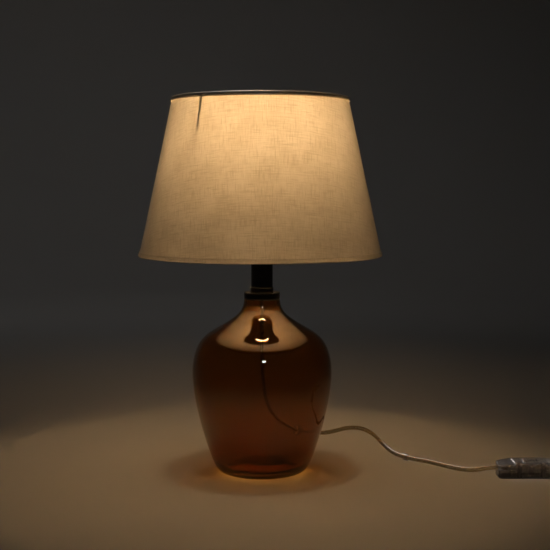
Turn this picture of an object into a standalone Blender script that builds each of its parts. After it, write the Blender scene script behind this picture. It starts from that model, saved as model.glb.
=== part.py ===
"""Table lamp: an amber glass bottle with a black neck fitting, a tapered linen shade, a clear flat cord
that leaves through a hole low in the glass, a clear in-line rocker switch and a coiled lead with its plug.
Metres, +Z up, origin at the middle of the bottle's foot, +X to the right and -Y towards the viewer."""

import math

import bmesh
import bpy
from mathutils import Matrix, Vector

MM = 0.001
GAP = 0.3
STEPS = 40
MEDIUM = 24
FINE = 16

# Bottle: foot, belly and neck radii and heights, in millimetres.
GLASS_OUTER = (
    (49.0, 0.0),
    (55.8, 2.7),
    (60.0, 9.5),
    (67.8, 30.0),
    (76.7, 60.0),
    (83.3, 90.0),
    (86.6, 120.0),
    (85.2, 140.0),
    (79.8, 157.0),
    (69.2, 170.0),
    (50.2, 182.0),
    (32.2, 194.0),
    (24.4, 204.0),
    (22.3, 214.7),
)
GLASS_WALL = 2.8
GLASS_TOP = 214.7
NECK_BORE = 19.3
PUNT = ((43.5, 0.0), (40.0, 1.6), (27.0, 7.4), (12.0, 9.8), (0.0, 10.3))
FLOOR = ((0.0, 14.6), (14.0, 13.8), (28.0, 11.3), (41.0, 7.0), (49.0, 6.0), (54.5, 9.0))

# Cord hole: azimuth from +X towards the back, height, and the slope of the wall there.
HOLE_AZIMUTH = math.radians(47.5)
HOLE_Z = 37.8
HOLE_TILT = math.radians(-16.5)
LEAD_TILT = math.radians(-20.5)
HOLE_RADIUS = 5.4
WALL_MID_RADIUS = 68.8

# Neck fitting and stem.
CAP_RADIUS = 22.3
CAP_BOTTOM = 216.3
CAP_TOP = 223.3
ROD_RADIUS = 5.0
ROD_BORE = 3.8
ROD_HOLE = 5.3
ROD_BOTTOM = 215.6
ROD_TOP = 325.0
COLLAR_RADIUS = 14.25
COLLAR_TOP = 229.4
STEM_RADIUS = 13.5
STEM_TOP = 316.7

# Lamp holder and bulb.
HOLDER_RADIUS = 20.0
HOLDER_CAP_TOP = 334.0
SKIRT_RADIUS = 19.6
SKIRT_TOP = 373.0
FLANGE_RADIUS = 23.5
FLANGE_TOP = 345.0
RING_NUT_TOP = 353.8
BULB_RADIUS = 30.0
BULB_TOP = 452.0

# Shade: outside radii and heights of its two edges.
SHADE_BOTTOM = (150.0, 270.0)
SHADE_TOP = (110.0, 461.5)
HEM_THICK = 0.5
COVER_THICK = 0.9
HEM_WIDTH = 5.5
RIM_WIRE = 1.5
SPOKE_WIRE = 1.2
SPOKE_AZIMUTHS = (-40.7, 79.3, 199.3)

# Cord: a clear flat twin lead, kept as a round one of its width.
CORD_WIDTH = 5.6
CORD_SPACING = 11.5
CORD_HEIGHT = CORD_WIDTH / 2
TO_SWITCH = (
    (0.0, 0.0, 327.0),
    (0.0, 0.0, 270.0),
    (0.0, 0.0, 215.0),
    (0.0, 0.0, 160.0),
    (0.8, 0.9, 124.0),
    (3.2, 3.5, 98.0),
    (9.6, 10.5, 75.0),
    (20.6, 22.5, 58.8),
    (32.5, 35.5, 47.8),
)
AFTER_HOLE = (
    (72.5, 71.0, 29.6),
    (84.5, 77.5, 28.2),
    (98.0, 84.8, 29.0),
    (110.0, 92.2, 30.2),
    (121.6, 97.4, 30.1),
    (134.4, 100.4, 28.1),
    (147.0, 95.8, 22.8),
    (156.4, 83.3, 16.0),
    (163.4, 69.5, 10.4),
    (170.5, 56.0, 7.0),
    (178.0, 45.8, 5.4),
    (186.0, 38.6, 4.6),
    (195.0, 32.2, 3.7),
    (214.0, 19.5, 2.9),
    (234.0, -2.5, 2.9),
    (249.0, -17.5, 3.3),
    (263.0, -28.5, 5.6),
    (275.0, -35.2, 9.3),
    (285.5, -37.8, 10.9),
    (300.5, -38.0, 11.0),
)
CLIP_AT = (186.0, 38.6, 4.6)

# Switch: centre, size, height of the split between its halves, and the rocker.
SWITCH_X = 327.5
SWITCH_Y = -38.0
SWITCH_LENGTH = 80.0
SWITCH_WIDTH = 27.0
SWITCH_HEIGHT = 20.0
SWITCH_SPLIT = 11.0
SWITCH_WALL = 1.8
SWITCH_CORNER = 5.0
PIN_HEIGHT = 14.0
ROCKER_TILT = math.radians(8.0)
CONTACT_TILT = math.radians(5.0)
CONTACT_HEIGHT = 6.5

# Coil of spare lead, and the plug.
COIL_X = 431.0
COIL_Y = -1.2
COIL_RADIUS = 31.0
COIL_HALF_WIDTH = 8.6
COIL_LOW = 1.4
COIL_HIGH = 12.7
COIL_OUTER_TURN = 36.8
TIE_THICK = 0.9
PLUG_Y = 60.0
PLUG_LENGTH = 36.0
PLUG_WIDTH = 35.3
PLUG_THICK = 13.7
PIN_SPACING = 18.6
PIN_RADIUS = 2.0
PIN_LENGTH = 19.0


def new_collection(name):
    made = bpy.data.collections.new(name)
    bpy.context.scene.collection.children.link(made)
    return made


def material(name, colour, roughness, metallic=0.0):
    made = bpy.data.materials.new(name)
    made.use_nodes = True
    shader = made.node_tree.nodes["Principled BSDF"]
    shader.inputs["Base Color"].default_value = (*colour, 1.0)
    shader.inputs["Roughness"].default_value = roughness
    shader.inputs["Metallic"].default_value = metallic
    return made


for old in list(bpy.data.objects):
    bpy.data.objects.remove(old, do_unlink=True)
LAMP = new_collection("bottle_table_lamp")
CUTTERS = new_collection("cutters")


def add(name, data, look=None):
    """Link a new object: a sub-part when it has a look, and a cutter when it has none."""
    made = bpy.data.objects.new(name, data)
    if look is None:
        CUTTERS.objects.link(made)
        made.hide_render = True
        made.display_type = "WIRE"
    else:
        LAMP.objects.link(made)
        data.materials.append(look)
    return made


def turned(name, profile, look=None, closed=True, steps=MEDIUM):
    """A shape of revolution about Z. The profile runs down the outside, top to bottom, in millimetres."""
    mesh = bpy.data.meshes.new(name)
    shape = bmesh.new()
    points = [shape.verts.new((r * MM, 0.0, z * MM)) for r, z in profile]
    for first, second in zip(points, points[1:]):
        shape.edges.new((first, second))
    if closed:
        shape.edges.new((points[-1], points[0]))
    shape.to_mesh(mesh)
    shape.free()
    made = add(name, mesh, look)
    screw = made.modifiers.new("turn", "SCREW")
    screw.axis = "Z"
    screw.angle = 2 * math.pi
    screw.steps = steps
    screw.render_steps = steps
    screw.use_merge_vertices = True
    screw.merge_threshold = 0.00001
    screw.use_smooth_shade = True
    return made


def rim(radius, low, high, chamfer):
    """The outer corners of a turned edge, chamfered or square."""
    if not chamfer:
        return [(radius, high), (radius, low)]
    inset = radius - chamfer
    return [(inset, high), (radius, high - chamfer), (radius, low + chamfer), (inset, low)]


def ring(name, inner, outer, low, high, look=None, chamfer=0.0, steps=MEDIUM):
    """A plain turned ring, with its outer edges chamfered."""
    return turned(name, [(inner, high), *rim(outer, low, high, chamfer), (inner, low)], look, steps=steps)


def disc(name, radius, low, high, look=None, chamfer=0.0, steps=FINE):
    """A solid turned disc or rod."""
    profile = [(0.0, high), *rim(radius, low, high, chamfer), (0.0, low)]
    return turned(name, profile, look, closed=False, steps=steps)


def box(name, low, high, look=None, bevel=0.0, segments=2):
    """A box between two corners in millimetres."""
    mesh = bpy.data.meshes.new(name)
    shape = bmesh.new()
    bmesh.ops.create_cube(shape, size=1.0)
    size = [(b - a) * MM for a, b in zip(low, high)]
    bmesh.ops.scale(shape, vec=size, verts=shape.verts)
    shape.to_mesh(mesh)
    shape.free()
    made = add(name, mesh, look)
    made.location = [(a + b) / 2 * MM for a, b in zip(low, high)]
    if bevel:
        rounding = made.modifiers.new("edges", "BEVEL")
        rounding.width = bevel * MM
        rounding.segments = segments
        rounding.limit_method = "ANGLE"
    return made


def rounded_plan(name, half_x, half_y, corner, low, high, look=None, edge=0.0):
    """A box whose upright edges are rounded, standing about its own origin."""
    mesh = bpy.data.meshes.new(name)
    shape = bmesh.new()
    bmesh.ops.create_cube(shape, size=1.0)
    bmesh.ops.scale(shape, vec=(2 * half_x * MM, 2 * half_y * MM, (high - low) * MM), verts=shape.verts)
    upright = [e for e in shape.edges if abs(e.verts[0].co.z - e.verts[1].co.z) > 0.5 * (high - low) * MM]
    bmesh.ops.bevel(
        shape, geom=upright, offset=corner * MM, segments=4, profile=0.5, affect="EDGES", clamp_overlap=True
    )
    shape.to_mesh(mesh)
    shape.free()
    made = add(name, mesh, look)
    made.location = (0.0, 0.0, (low + high) / 2 * MM)
    if edge:
        rounding = made.modifiers.new("edges", "BEVEL")
        rounding.width = edge * MM
        rounding.segments = 2
        rounding.limit_method = "ANGLE"
        rounding.angle_limit = math.radians(60.0)
    return made


def cut(target, cutter, operation="DIFFERENCE"):
    step = target.modifiers.new(cutter.name, "BOOLEAN")
    step.operation = operation
    step.object = cutter
    step.solver = "EXACT"
    return step


def lay_along(thing, start, direction):
    """Put a turned thing's own Z axis on a direction, with its origin at start."""
    turn = Vector((0.0, 0.0, 1.0)).rotation_difference(Vector(direction).normalized())
    thing.matrix_world = Matrix.Translation(Vector(start) * MM) @ turn.to_matrix().to_4x4()


def catmull(points, per_span):
    """A smooth centripetal curve through the points, as a list of vectors in millimetres."""
    knots = [Vector(p) for p in points]
    knots = [knots[0] * 2 - knots[1]] + knots + [knots[-1] * 2 - knots[-2]]
    made = []
    for p0, p1, p2, p3 in zip(knots, knots[1:], knots[2:], knots[3:]):
        t1 = (p1 - p0).length ** 0.5
        t2 = t1 + (p2 - p1).length ** 0.5
        t3 = t2 + (p3 - p2).length ** 0.5
        for step in range(per_span):
            t = t1 + (t2 - t1) * step / per_span
            a1 = p0 * ((t1 - t) / t1) + p1 * (t / t1)
            a2 = p1 * ((t2 - t) / (t2 - t1)) + p2 * ((t - t1) / (t2 - t1))
            a3 = p2 * ((t3 - t) / (t3 - t2)) + p3 * ((t - t2) / (t3 - t2))
            b1 = a1 * ((t2 - t) / t2) + a2 * (t / t2)
            b2 = a2 * ((t3 - t) / (t3 - t1)) + a3 * ((t - t1) / (t3 - t1))
            made.append(b1 * ((t2 - t) / (t2 - t1)) + b2 * ((t - t1) / (t2 - t1)))
    made.append(knots[-2].copy())
    return made


def evenly(points, spacing):
    """The same line with points an even distance apart."""
    lengths = [0.0]
    for first, second in zip(points, points[1:]):
        lengths.append(lengths[-1] + (second - first).length)
    count = max(2, round(lengths[-1] / spacing))
    made = []
    place = 0
    for number in range(count + 1):
        wanted = lengths[-1] * number / count
        while place < len(lengths) - 2 and lengths[place + 1] < wanted:
            place += 1
        span = max(lengths[place + 1] - lengths[place], 1e-9)
        share = (wanted - lengths[place]) / span
        made.append(points[place].lerp(points[place + 1], share))
    return made


def tube(name, points, radius, look):
    """A round wire or lead along the points, in millimetres."""
    line = bpy.data.curves.new(name, "CURVE")
    line.dimensions = "3D"
    spline = line.splines.new("POLY")
    spline.points.add(len(points) - 1)
    for point, place in zip(spline.points, points):
        point.co = (place[0] * MM, place[1] * MM, place[2] * MM, 1.0)
    line.bevel_depth = radius * MM
    line.bevel_resolution = 2
    line.use_fill_caps = True
    return add(name, line, look)


GLASS = material("amber_glass", (0.42, 0.14, 0.02), 0.05)
CLEAR = material("clear_plastic", (0.80, 0.78, 0.72), 0.2)
BLACK = material("black_metal", (0.02, 0.02, 0.02), 0.35, 0.6)
RUBBER = material("black_rubber", (0.03, 0.03, 0.03), 0.8)
STEEL = material("plated_steel", (0.6, 0.6, 0.58), 0.35, 1.0)
BRASS = material("brass", (0.7, 0.5, 0.22), 0.3, 1.0)
BAKELITE = material("black_bakelite", (0.03, 0.03, 0.03), 0.4)
CERAMIC = material("white_ceramic", (0.8, 0.79, 0.75), 0.4)
LINEN = material("linen", (0.85, 0.76, 0.62), 0.9)
TRIM = material("linen_trim", (0.82, 0.72, 0.58), 0.9)
WIRE = material("white_wire", (0.75, 0.73, 0.68), 0.4, 0.5)
OPAL = material("opal_globe", (0.95, 0.9, 0.8), 0.3)
WHITE = material("white_plastic", (0.85, 0.85, 0.83), 0.4)
LEAD = material("clear_lead", (0.72, 0.66, 0.5), 0.3)
PLUG = material("clear_plug", (0.78, 0.76, 0.7), 0.35)


def glass_profile():
    """The bottle's wall: floor and bore on the inside, then down the outside to the foot and the punt."""
    inside = []
    for before, here, after in zip(GLASS_OUTER, GLASS_OUTER[1:], GLASS_OUTER[2:]):
        along = Vector((after[0] - before[0], after[1] - before[1])).normalized()
        point = Vector(here) + Vector((-along.y, along.x)) * GLASS_WALL
        if 14.0 < point.y < GLASS_TOP - 8.0:
            inside.append(tuple(point))
    bore = [(NECK_BORE, GLASS_TOP - 5.0), (NECK_BORE, GLASS_TOP)]
    lip = [(CAP_RADIUS - 0.6, GLASS_TOP), (CAP_RADIUS, GLASS_TOP - 0.6)]
    outside = GLASS_OUTER[-2::-1]
    return [*FLOOR, *inside, *bore, *lip, *outside, *PUNT]


def build_bottle():
    glass = turned("glass_bottle", glass_profile(), GLASS, closed=False, steps=STEPS)
    out = Vector((math.cos(HOLE_AZIMUTH), math.sin(HOLE_AZIMUTH), 0.0))
    axis = out * math.cos(HOLE_TILT) + Vector((0.0, 0.0, math.sin(HOLE_TILT)))
    middle = out * WALL_MID_RADIUS + Vector((0.0, 0.0, HOLE_Z))
    drill = disc("cord_hole_drill", HOLE_RADIUS, -12.0, 12.0)
    lay_along(drill, middle, axis)
    cut(glass, drill)
    grommet = turned(
        "cord_grommet",
        (
            (3.5, 3.3),
            (6.6, 3.3),
            (7.2, 2.9),
            (7.2, 2.15),
            (5.0, 2.15),
            (5.0, -2.1),
            (6.6, -2.1),
            (6.6, -3.0),
            (3.5, -3.0),
        ),
        CLEAR,
        steps=FINE,
    )
    lay_along(grommet, middle, axis)
    return middle


def build_neck():
    ring("neck_gasket", 19.8, 21.9, 215.0, 216.0, RUBBER)
    turned(
        "neck_cap",
        (
            (ROD_HOLE, CAP_TOP),
            (CAP_RADIUS - 0.7, CAP_TOP),
            (CAP_RADIUS, CAP_TOP - 0.7),
            (CAP_RADIUS, CAP_BOTTOM),
            (19.8, CAP_BOTTOM),
            (19.8, CAP_TOP - 2.2),
            (ROD_HOLE, CAP_TOP - 2.2),
        ),
        BLACK,
    )
    ring("threaded_rod", ROD_BORE, ROD_RADIUS, ROD_BOTTOM, ROD_TOP, STEEL, 0.4, steps=FINE)
    ring("lock_washer", ROD_HOLE, 9.5, CAP_TOP - 3.5, CAP_TOP - 2.5, STEEL, steps=FINE)
    nut = disc("lock_nut", 8.1, CAP_TOP - 6.8, CAP_TOP - 3.8, STEEL, steps=6)
    nut_bore = disc("nut_bore", ROD_HOLE, CAP_TOP - 9.0, CAP_TOP - 2.0)
    cut(nut, nut_bore)
    turned(
        "stem_collar",
        (
            (ROD_HOLE, COLLAR_TOP + 2.0),
            (12.1, COLLAR_TOP + 2.0),
            (12.1, COLLAR_TOP),
            (COLLAR_RADIUS - 0.6, COLLAR_TOP),
            (COLLAR_RADIUS, COLLAR_TOP - 0.6),
            (COLLAR_RADIUS, CAP_TOP + 0.8),
            (COLLAR_RADIUS - 0.5, CAP_TOP + GAP),
            (ROD_HOLE, CAP_TOP + GAP),
        ),
        BLACK,
    )
    ring("stem_tube", 12.4, STEM_RADIUS, COLLAR_TOP + GAP, STEM_TOP, BLACK)


def build_holder():
    turned(
        "holder_cap",
        (
            (18.6, HOLDER_CAP_TOP),
            (HOLDER_RADIUS, HOLDER_CAP_TOP),
            (HOLDER_RADIUS, 325.0),
            (18.6, 321.0),
            (15.0, 317.5),
            (12.6, 317.0),
            (ROD_HOLE, 317.0),
            (ROD_HOLE, 322.5),
            (8.2, 322.5),
            (8.2, 318.6),
            (14.2, 318.9),
            (17.4, 322.0),
            (18.6, 325.6),
        ),
        BAKELITE,
    )
    turned(
        "holder_skirt",
        (
            (17.9, SKIRT_TOP),
            (19.0, SKIRT_TOP),
            (SKIRT_RADIUS, SKIRT_TOP - 0.6),
            (SKIRT_RADIUS, FLANGE_TOP),
            (FLANGE_RADIUS, FLANGE_TOP),
            (FLANGE_RADIUS, FLANGE_TOP - 2.0),
            (HOLDER_RADIUS, FLANGE_TOP - 4.0),
            (HOLDER_RADIUS, HOLDER_CAP_TOP + GAP),
            (17.9, HOLDER_CAP_TOP + GAP),
        ),
        BAKELITE,
    )
    turned(
        "holder_insert",
        (
            (4.0, 342.0),
            (17.4, 342.0),
            (17.4, 334.6),
            (16.8, 330.0),
            (4.0, 330.0),
        ),
        CERAMIC,
        steps=FINE,
    )
    ring("screw_shell", 13.6, 14.3, 342.4, 367.5, BRASS)
    turned(
        "center_contact",
        ((0.0, 345.0), (3.2, 344.6), (4.6, 343.3), (4.6, 342.4), (0.0, 342.4)),
        BRASS,
        closed=False,
        steps=FINE,
    )
    box("side_contact", (14.7, -2.0, 342.4), (15.7, 2.0, 352.0), BRASS)
    for name, x in (("terminal_screw_live", -10.5), ("terminal_screw_neutral", 10.5)):
        screw = disc(name, 2.4, 326.0, 329.7, STEEL, 0.4, steps=12)
        screw.location = (x * MM, 0.0, 0.0)
    nut = turned(
        "shade_ring",
        (
            (20.0, RING_NUT_TOP),
            (23.0, RING_NUT_TOP),
            (23.8, RING_NUT_TOP - 0.8),
            (23.8, FLANGE_TOP + 3.4),
            (23.2, FLANGE_TOP + 2.8),
            (20.0, FLANGE_TOP + 2.8),
        ),
        BAKELITE,
    )
    for number in range(6):
        angle = math.radians(60 * number)
        notch = disc(f"grip_notch_{number}", 1.1, FLANGE_TOP, RING_NUT_TOP + 2.0, steps=8)
        notch.location = (24.3 * math.cos(angle) * MM, 24.3 * math.sin(angle) * MM, 0.0)
        cut(nut, notch)


def build_bulb():
    turned(
        "bulb_contact",
        ((0.0, 346.9), (4.2, 346.9), (4.2, 346.2), (2.6, 345.3), (0.0, 345.3)),
        STEEL,
        closed=False,
        steps=FINE,
    )
    turned(
        "bulb_insulator",
        ((0.0, 350.6), (11.2, 350.6), (5.4, 347.2), (0.0, 347.2)),
        BAKELITE,
        closed=False,
        steps=FINE,
    )
    ring("bulb_cap", 12.1, 13.0, 350.9, 372.0, STEEL, 0.4)
    turned(
        "bulb_collar",
        (
            (10.5, 391.0),
            (21.8, 391.0),
            (22.6, 390.0),
            (17.4, 379.0),
            (14.6, 373.5),
            (14.0, 372.3),
            (11.5, 372.3),
            (11.5, 366.0),
            (10.5, 366.0),
        ),
        WHITE,
    )
    outer = catmull(
        [
            (0.0, 0.0, BULB_TOP),
            (12.0, 0.0, BULB_TOP - 2.6),
            (22.5, 0.0, BULB_TOP - 10.5),
            (29.0, 0.0, BULB_TOP - 23.5),
            (29.6, 0.0, BULB_TOP - 37.0),
            (26.0, 0.0, BULB_TOP - 51.0),
            (22.3, 0.0, 391.3),
        ],
        1,
    )
    wall = 1.0
    profile = [(max(p.x, 0.0), p.z) for p in outer]
    inner = [(p.x - wall * p.x / BULB_RADIUS, p.z - wall * (p.z - 400.0) / 52.0) for p in outer]
    inner = [(max(x - 0.4, 0.0) if x > 8.0 else max(x, 0.0), z) for x, z in inner[:-1]]
    inner.append((profile[-1][0] - 1.4, 391.3))
    turned("bulb_globe", profile + inner[::-1], OPAL, closed=False)


def shade_radius(z):
    """The shade's outside radius at a height."""
    share = (z - SHADE_BOTTOM[1]) / (SHADE_TOP[1] - SHADE_BOTTOM[1])
    return SHADE_BOTTOM[0] + (SHADE_TOP[0] - SHADE_BOTTOM[0]) * share


def build_shade():
    low = SHADE_BOTTOM[1]
    high = SHADE_TOP[1]
    in_cover = HEM_THICK + GAP
    in_wire = in_cover + COVER_THICK + GAP + RIM_WIRE
    in_leg = in_wire + RIM_WIRE + GAP
    low_edge = low + HEM_THICK + GAP
    high_edge = high - HEM_THICK - GAP
    turned(
        "shade_cover",
        (
            (shade_radius(high_edge) - in_cover, high_edge),
            (shade_radius(low_edge) - in_cover, low_edge),
            (shade_radius(low_edge) - in_cover - COVER_THICK, low_edge),
            (shade_radius(high_edge) - in_cover - COVER_THICK, high_edge),
        ),
        LINEN,
        steps=STEPS,
    )
    hem_low = high - HEM_WIDTH
    leg_low = high - 2.3
    turned(
        "top_hem",
        (
            (shade_radius(high), high),
            (shade_radius(hem_low), hem_low),
            (shade_radius(hem_low) - HEM_THICK, hem_low),
            (shade_radius(high - HEM_THICK) - HEM_THICK, high - HEM_THICK),
            (shade_radius(high) - in_leg, high - HEM_THICK),
            (shade_radius(leg_low) - in_leg, leg_low),
            (shade_radius(leg_low) - in_leg - HEM_THICK, leg_low),
            (shade_radius(high) - in_leg - HEM_THICK, high),
        ),
        TRIM,
        steps=STEPS,
    )
    hem_high = low + HEM_WIDTH
    turned(
        "bottom_hem",
        (
            (shade_radius(hem_high), hem_high),
            (shade_radius(low), low),
            (shade_radius(low) - in_leg - HEM_THICK, low),
            (shade_radius(hem_high) - in_leg - HEM_THICK, hem_high),
            (shade_radius(hem_high) - in_leg, hem_high),
            (shade_radius(low + HEM_THICK) - in_leg, low + HEM_THICK),
            (shade_radius(low + HEM_THICK) - HEM_THICK, low + HEM_THICK),
            (shade_radius(hem_high) - HEM_THICK, hem_high),
        ),
        TRIM,
        steps=STEPS,
    )
    top_z = high - 3.2
    bottom_z = low + 3.0
    for name, z in (("top_ring", top_z), ("bottom_ring", bottom_z)):
        middle = shade_radius(z) - in_wire
        profile = []
        for number in range(6):
            angle = math.radians(90.0 - 60.0 * number)
            profile.append((middle + RIM_WIRE * math.cos(angle), z + RIM_WIRE * math.sin(angle)))
        turned(name, profile, WIRE, steps=STEPS)
    ring("fitter_ring", 20.2, 24.5, FLANGE_TOP + GAP, FLANGE_TOP + 2.5, WIRE)
    start = shade_radius(top_z) - in_wire - RIM_WIRE - GAP
    side = [
        (start, 0.0, top_z - 0.4),
        (start - 6.0, 0.0, top_z - 1.2),
        (start - 13.0, 0.0, top_z - 6.5),
        (start - 20.0, 0.0, top_z - 15.0),
        (46.0, 0.0, 375.0),
        (36.0, 0.0, 361.5),
        (31.0, 0.0, 351.5),
        (28.4, 0.0, 347.4),
        (24.5 + GAP, 0.0, FLANGE_TOP + 1.4),
    ]
    line = catmull(side, 2)
    for number, azimuth in enumerate(SPOKE_AZIMUTHS, 1):
        turn = Matrix.Rotation(math.radians(azimuth - 90.0), 3, "Z")
        tube(f"shade_spoke_{number}", [turn @ p for p in line], SPOKE_WIRE, WIRE)


def build_leads(middle):
    out = Vector((middle.x, middle.y, 0.0)).normalized()
    along_hole = out * math.cos(LEAD_TILT) + Vector((0.0, 0.0, math.sin(LEAD_TILT)))
    through = [tuple(middle + along_hole * d) for d in (-7.0, 7.0)]
    route = evenly(catmull(list(TO_SWITCH) + through + list(AFTER_HOLE), 16), CORD_SPACING)
    tube("cord_to_switch", route, CORD_WIDTH / 2, LEAD)
    clip = ring("cord_clip", CORD_WIDTH / 2 + GAP + 0.1, 4.2, -3.0, 3.0, CLEAR, 0.7, steps=FINE)
    nearest = min(range(1, len(route) - 1), key=lambda i: (route[i] - Vector(CLIP_AT)).length)
    along = route[nearest + 1] - route[nearest - 1]
    spot = route[nearest]
    lay_along(clip, spot, along)


def switch_at(thing, x=0.0, y=0.0):
    """Move a thing made about the switch's own middle to where the switch lies."""
    thing.location.x += (SWITCH_X + x) * MM
    thing.location.y += (SWITCH_Y + y) * MM
    return thing


def build_switch():
    half_x = SWITCH_LENGTH / 2
    half_y = SWITCH_WIDTH / 2
    wall = SWITCH_WALL
    split_low = SWITCH_SPLIT - GAP / 2
    split_high = SWITCH_SPLIT + GAP / 2
    base = switch_at(rounded_plan("switch_base", half_x, half_y, SWITCH_CORNER, 0.0, split_low, CLEAR, 0.8))
    in_x = half_x - wall
    in_y = half_y - wall
    in_corner = SWITCH_CORNER - wall
    cut(base, switch_at(rounded_plan("base_hollow", in_x, in_y, in_corner, wall, SWITCH_SPLIT + 5.0)))
    for side, y in (("front", -8.6), ("back", 8.6)):
        post = box(f"pin_post_{side}", (-2.6, y - 1.1, wall - 0.5), (2.6, y + 1.1, 16.0))
        cut(base, switch_at(post), "UNION")
    foot = box("contact_foot", (-1.5, 2.6, wall - 0.5), (1.5, 6.4, CONTACT_HEIGHT - 1.2))
    cut(base, switch_at(foot), "UNION")
    pin_bore = disc("pin_bore", 1.3, -12.0, 12.0, steps=12)
    lay_along(pin_bore, (SWITCH_X, SWITCH_Y, PIN_HEIGHT), (0.0, 1.0, 0.0))
    cut(base, pin_bore)

    cover = rounded_plan("switch_cover", half_x, half_y, SWITCH_CORNER, split_high, SWITCH_HEIGHT, CLEAR, 0.8)
    switch_at(cover)
    for name, side in (("slope_left", -1.0), ("slope_right", 1.0)):
        wedge = box(name, (-20.0, -20.0, 0.0), (20.0, 20.0, 10.0))
        wedge.rotation_euler = (0.0, side * math.radians(10.5), 0.0)
        wedge.location = ((SWITCH_X + side * (half_x - 0.6)) * MM, SWITCH_Y * MM, (SWITCH_HEIGHT + 1.45) * MM)
        cut(cover, wedge)
    room = rounded_plan("cover_hollow", in_x, in_y, in_corner, SWITCH_SPLIT - 5.0, 15.3)
    cut(cover, switch_at(room))
    upper = box("cover_hollow_top", (-20.0, -in_y, 15.0), (20.0, in_y, SWITCH_HEIGHT - wall))
    cut(cover, switch_at(upper))
    window = box("rocker_window", (-9.0, -7.4, 14.0), (9.0, 7.4, 24.0))
    cut(cover, switch_at(window))
    for name, side in (("lead_in", -1.0), ("lead_out", 1.0)):
        entry = disc(name, CORD_WIDTH / 2 + 0.6, -8.0, 8.0, steps=16)
        lay_along(entry, (SWITCH_X + side * half_x, SWITCH_Y, SWITCH_SPLIT), (1.0, 0.0, 0.0))
        cut(base, entry)
        cut(cover, entry)
    for number, x in ((1, -14.5), (2, 14.5)):
        boss = disc(f"boss_{number}", 2.9, wall + GAP, SWITCH_HEIGHT - 1.0, steps=12)
        cut(cover, switch_at(boss, x, -8.4), "UNION")
        bore = disc(f"boss_bore_{number}", 1.6, -1.0, 15.0, steps=12)
        switch_at(bore, x, -8.4)
        cut(cover, bore)
        cut(base, bore)
        sink = disc(f"screw_sink_{number}", 2.6, -1.0, 1.0, steps=12)
        cut(base, switch_at(sink, x, -8.4))
        screw = turned(
            f"switch_screw_{number}",
            ((0.0, 13.0), (1.3, 12.4), (1.3, 0.75), (2.3, 0.75), (2.3, 0.1), (0.0, 0.1)),
            STEEL,
            closed=False,
            steps=12,
        )
        switch_at(screw, x, -8.4)

    rocker_mesh = bpy.data.meshes.new("switch_rocker")
    shape = bmesh.new()
    side_view = ((-7.7, 6.2), (0.0, 4.6), (7.7, 6.2), (7.4, 3.0), (3.4, -2.6), (-3.4, -2.6), (-7.4, 3.0))
    corners = [shape.verts.new((x * MM, -6.9 * MM, z * MM)) for x, z in side_view]
    face = shape.faces.new(corners)
    grown = bmesh.ops.extrude_face_region(shape, geom=[face])
    moved = [v for v in grown["geom"] if isinstance(v, bmesh.types.BMVert)]
    bmesh.ops.translate(shape, vec=(0.0, 13.8 * MM, 0.0), verts=moved)
    bmesh.ops.recalc_face_normals(shape, faces=shape.faces)
    shape.to_mesh(rocker_mesh)
    shape.free()
    rocker = add("switch_rocker", rocker_mesh, CLEAR)
    rounding = rocker.modifiers.new("edges", "BEVEL")
    rounding.width = 0.5 * MM
    rounding.segments = 2
    rounding.limit_method = "ANGLE"
    rocker.location = (SWITCH_X * MM, SWITCH_Y * MM, PIN_HEIGHT * MM)
    rocker.rotation_euler = (0.0, ROCKER_TILT, 0.0)
    cut(rocker, pin_bore)

    pin = disc("rocker_pin", 1.0, -10.5, 10.5, STEEL, 0.2, steps=12)
    lay_along(pin, (SWITCH_X, SWITCH_Y, PIN_HEIGHT), (0.0, 1.0, 0.0))
    bar = box("contact_bar", (-13.0, 2.8, -0.5), (13.0, 6.2, 0.5), BRASS)
    bar.location = (SWITCH_X * MM, (SWITCH_Y + 4.5) * MM, CONTACT_HEIGHT * MM)
    bar.rotation_euler = (0.0, -CONTACT_TILT, 0.0)
    for name, side in (("in", -1.0), ("out", 1.0)):
        near = min(side * 16.5, side * 24.0)
        far = max(side * 16.5, side * 24.0)
        switch_at(box(f"terminal_{name}", (near, 2.4, wall + GAP), (far, 6.8, 9.6), BRASS, 0.4, 1))
        screw = disc(f"terminal_screw_{name}", 1.9, 9.9, 12.4, STEEL, 0.3, steps=12)
        switch_at(screw, side * 20.2, 4.6)
        near = min(side * 30.0, side * 35.5)
        far = max(side * 30.0, side * 35.5)
        switch_at(box(f"lead_clamp_{name}", (near, -7.5, 14.1), (far, 7.5, 15.0), WHITE))
    switch_at(box("neutral_link", (-24.0, -5.4, wall + GAP), (24.0, -3.4, 6.0), BRASS))


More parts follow.
